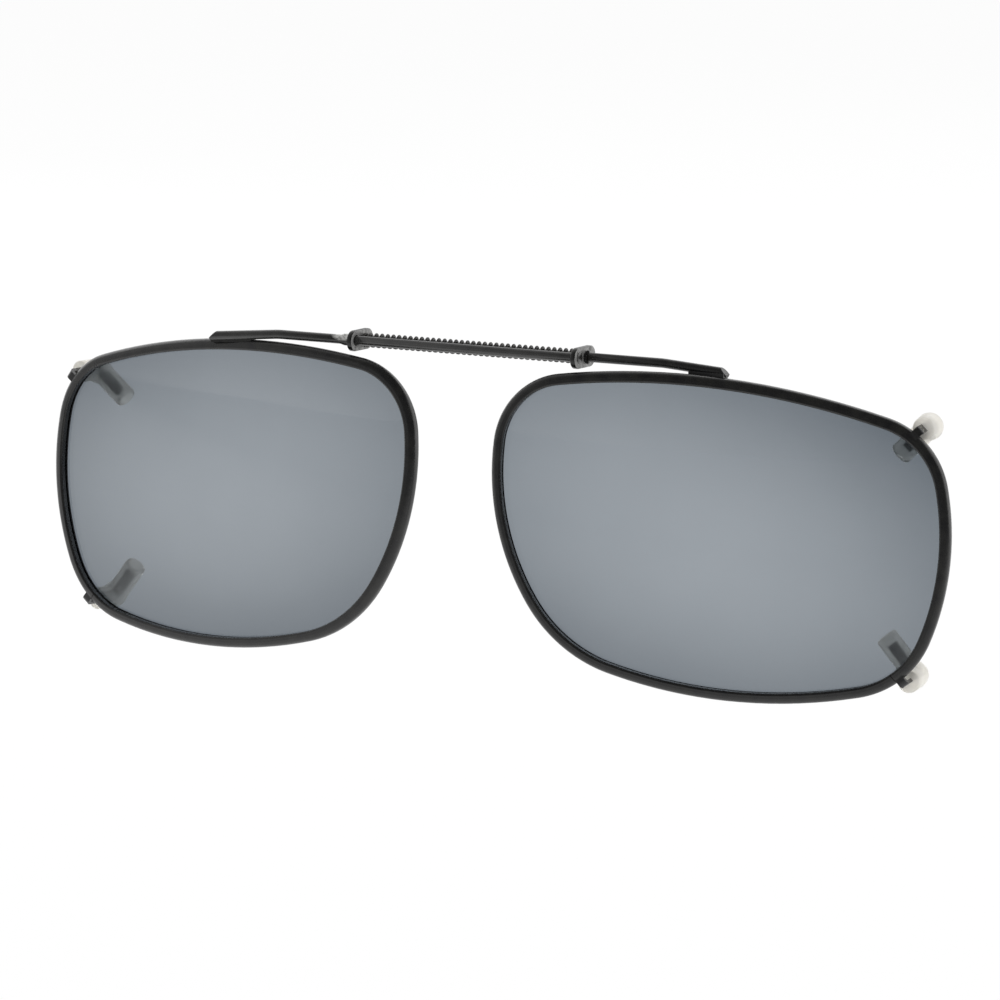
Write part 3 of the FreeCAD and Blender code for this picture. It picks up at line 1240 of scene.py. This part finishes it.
@dataclass
class DrawBridge:
    """The two rods, the two guide plates and the spring between the plates."""

    front_rod: BridgeRod
    back_rod: BridgeRod
    spring: CoilSpring

    def build(self, paint: Material, worn: Material, painted_light_faces: Material,
              steel: Material) -> None:
        """Model and fit every piece of the bridge.

        Args:
            paint: For the back rod and the plates' edges.
            worn: For the front rod, rubbed beside its ears.
            painted_light_faces: For the plates' flat faces, whose pale grey is painted light.
            steel: For the coil.
        """
        front = (self.front_rod.y, self.front_rod.z)
        back = (self.back_rod.y, self.back_rod.z)
        self.front_rod.build(worn)
        self.back_rod.build(paint)
        GuidePlate(Side.LEFT, staked=front, sliding=back).build(painted_light_faces, paint)
        GuidePlate(Side.RIGHT, staked=back, sliding=front).build(painted_light_faces, paint)
        self.spring.build(steel)


# Floor, light and camera.


@dataclass(frozen=True)
class SoftLamp:
    """One soft square lamp that looks at the object. Lengths in metres, power in watts."""

    name: str
    place: Triple
    size: float
    power: float

    def hang(self) -> None:
        """Hang the lamp in the scene."""
        light = bpy.data.lights.new(self.name, "AREA")
        light.shape = "SQUARE"
        light.size = self.size
        light.energy = self.power
        lamp = add_object(self.name, light)
        lamp.location = self.place
        lamp.rotation_euler = (-Vector(self.place)).to_track_quat("-Z", "Y").to_euler()


@dataclass(frozen=True)
class Viewpoint:
    """The camera. Angles in degrees, roll in radians, lengths in metres, lens in millimetres."""

    azimuth: float = 27.5
    elevation: float = 8.5565
    roll: float = -0.0142004
    distance: float = 0.730
    shift: Pair = (-0.00474061, -0.00200465)
    focal: float = 211.475
    sensor: float = 36.0
    clip: Pair = (0.01, 20.0)

    def place(self) -> None:
        """Place the camera."""
        azimuth = math.radians(self.azimuth)
        elevation = math.radians(self.elevation)
        right = Vector((math.cos(azimuth), math.sin(azimuth), 0.0))
        back = Vector((math.sin(azimuth) * math.cos(elevation),
                       -math.cos(azimuth) * math.cos(elevation), math.sin(elevation)))
        up = back.cross(right)
        cosine, sine = math.cos(self.roll), math.sin(self.roll)
        aside = Matrix(((cosine, sine), (-sine, cosine))) @ -Vector(self.shift)
        across = cosine * right - sine * up
        upward = sine * right + cosine * up
        turned = Matrix((across, upward, back)).transposed().to_4x4()
        data = bpy.data.cameras.new("camera")
        data.sensor_width = self.sensor
        data.lens = self.focal
        data.clip_start, data.clip_end = self.clip
        camera = add_object("camera", data)
        point = aside.x * right + aside.y * up + self.distance * back
        camera.matrix_world = Matrix.Translation(point) @ turned
        bpy.context.scene.camera = camera


@dataclass(frozen=True)
class Studio:
    """The pale floor, the soft lamps and the white surroundings. Lengths in metres.

    The surroundings are white where they are seen and softer as a light. Reflections see them
    dimmed, least along away and most against it.
    """

    floor_drop: float = 0.080
    floor_size: float = 8.0
    surround: float = 0.85
    away: Triple = (-0.80, 1.0, -0.9)
    away_fade: Pair = (-0.9, -0.2)
    dim_front: float = 0.06
    dim_back: float = 0.60
    lamps: tuple[SoftLamp, ...] = (
        SoftLamp("left_window", (-1.10, 0.55, 0.40), size=1.20, power=4.5),
        SoftLamp("right_window", (1.10, 0.65, 0.45), size=1.20, power=4.5),
        SoftLamp("back_window", (0.00, 1.30, 0.95), size=1.50, power=6.0))
    viewpoint: Viewpoint = Viewpoint()

    def build(self) -> None:
        """Set up everything round the object."""
        self.floor()
        self.world()
        for lamp in self.lamps:
            lamp.hang()
        self.viewpoint.place()

    def floor(self) -> None:
        """Lay the floor."""
        ground = Workpiece("floor")
        bmesh.ops.create_grid(ground.bm, x_segments=1, y_segments=1, size=self.floor_size / 2)
        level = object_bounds()[0][2] - self.floor_drop
        ground.carry(Matrix.Translation((0.0, 0.0, level)))
        ground.finish(PaleFloor().material())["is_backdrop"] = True

    def world(self) -> None:
        """Make the surroundings."""
        world = bpy.data.worlds.new("pale_room")
        world.use_nodes = True
        bench = NodeBench(world.node_tree)
        outwards = bench.node("ShaderNodeTexCoord").outputs["Generated"]
        behind = bench.reckon_vectors("DOT_PRODUCT", outwards, self.away)
        mirrored = bench.spread(behind, self.dim_front, self.dim_back, *self.away_fade)
        glossy = bench.node("ShaderNodeLightPath").outputs["Is Glossy Ray"]
        light = bench.spread(glossy, self.surround, 0.0, start=0.0, finish=1.0)
        ground = world.node_tree.nodes["Background"]
        bench.feed(ground.inputs["Color"], WHITE)
        bench.feed(ground.inputs["Strength"],
                   bench.reckon("MAXIMUM", bench.seen_by_eye(mirrored), light))
        bpy.context.scene.world = world


def clip_on() -> tuple[list[EyeHalf], DrawBridge]:
    """Set out the object's sub-assemblies with their own sizes.

    Returns:
        The two eyes and the bridge.
    """
    upper = (18.094, 5.637, 10.7)
    lower = (15.963, -7.066, 11.7)
    # Each lens's painted light is set by its last values: bright spot, fall-off, tilt, and for
    # the left lens a lighter copy.
    right = EyeHalf(
        Side.RIGHT,
        [HookSleeve(Side.RIGHT, Level.UPPER, upper, seat=40.0, turn=-4.0, arm=4.6),
         HookSleeve(Side.RIGHT, Level.LOWER, lower, seat=-50.5, turn=0.0, arm=4.4)],
        lit_spot=(-2.05, 2.0), lit_half=(29.9, 16.9), lit_tilt=-7.9)
    left = EyeHalf(
        Side.LEFT,
        [HookSleeve(Side.LEFT, Level.UPPER, upper, seat=52.5, turn=-7.5, arm=4.3),
         HookSleeve(Side.LEFT, Level.LOWER, lower, seat=-49.5, turn=-0.5, arm=5.0)],
        lit_spot=(-3.6, 1.0), lit_half=(31.6, 16.6), lit_tilt=-14.4, lit_scale=1.046)
    bridge = DrawBridge(
        front_rod=BridgeRod(Side.RIGHT, y=0.1, z=20.93, reach=1.75, droop=5.0,
                            ears_length=1.4, ears_height=1.5),
        back_rod=BridgeRod(Side.LEFT, y=1.9, z=20.85, reach=0.65, droop=4.0,
                           ears_length=0.5, ears_height=1.7),
        spring=CoilSpring())
    return [right, left], bridge


def main() -> None:
    """Build and dress the object, then light it."""
    logging.basicConfig(level=logging.INFO, format="%(name)s: %(message)s")
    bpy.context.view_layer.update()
    bpy.context.scene.view_settings.view_transform = "Standard"
    paint = SatinBlackPaint().material()
    worn = SatinBlackPaint(
        name="worn_black_paint", deep=(0.012, 0.012, 0.012), pale=(0.026, 0.026, 0.024),
        specular=0.95, rub_centre=Vector((-17.0, -0.25, 21.5)) * MM).material()
    older = CloudySilicone(name="cloudier_silicone", clear_share=0.58).material()
    newer = CloudySilicone().material()
    eyes, bridge = clip_on()
    for eye, silicone in zip(eyes, (older, newer)):
        eye.dress(paint, silicone)
    bridge.build(paint, worn, PaintedLightPlate().material(), DarkSpringSteel().material())
    Studio().build()


if __name__ == "__main__":
    main()
